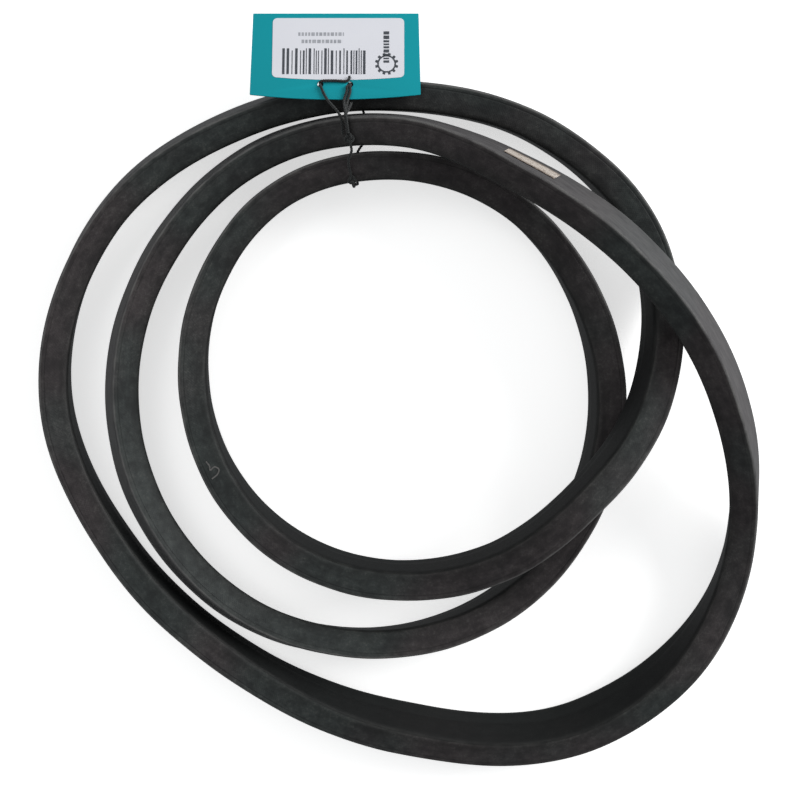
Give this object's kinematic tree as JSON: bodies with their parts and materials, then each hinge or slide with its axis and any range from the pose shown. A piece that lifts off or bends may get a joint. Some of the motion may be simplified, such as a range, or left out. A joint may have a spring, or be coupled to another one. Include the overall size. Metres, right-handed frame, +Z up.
{
  "type": "v belt",
  "caption": "Endless wrapped V belt of wide section, coiled, tied with string and carrying a hinged hang tag; transmits power between grooved pulleys.",
  "frame": {"origin": "middle of the bottom of the whole object's box, on the surface that the coil lies on", "axes": "+Z up from the surface that the coiled belt lies on, +Y from the coil's middle towards the hang tag, +X to the right seen from above with the tag at the top"},
  "size_m": [0.3288, 0.3396, 0.0636],
  "materials": {
    "cover_fabric": "matt woven fabric soaked in black rubber, worn lighter along its edges",
    "core_rubber": "matt moulded rubber",
    "adhesion_rubber": "matt soft rubber",
    "polyester_cord": "twisted treated cord",
    "label_paper": "worn paper",
    "tie_string": "twisted black string",
    "tag_board": "teal coated card",
    "sticker_paper": null
  },
  "bodies": {
    "belt": {"belt_cover": "cover_fabric", "top_rubber": "core_rubber", "upper_adhesion_rubber": "adhesion_rubber", "tensile_cord": "polyester_cord", "lower_adhesion_rubber": "adhesion_rubber", "compression_rubber": "core_rubber", "size_label": "label_paper", "tie_string_over": "tie_string", "tie_string_under": "tie_string", "tag_bridle_string": "tie_string", "tie_knot": "tie_string", "loop_knot": "tie_string"},
    "tag": {"tag_card": "tag_board", "tag_sticker": "sticker_paper"}
  },
  "joints": [
    {"name": "tag_flip", "type": "hinge", "parent": "belt", "child": "tag", "pos_m": [-0.02859, 0.13349, 0.03111], "axis": [1, 0, 0], "range_deg": [0, 140], "deforming": ["tag_bridle_string"]}
  ]
}
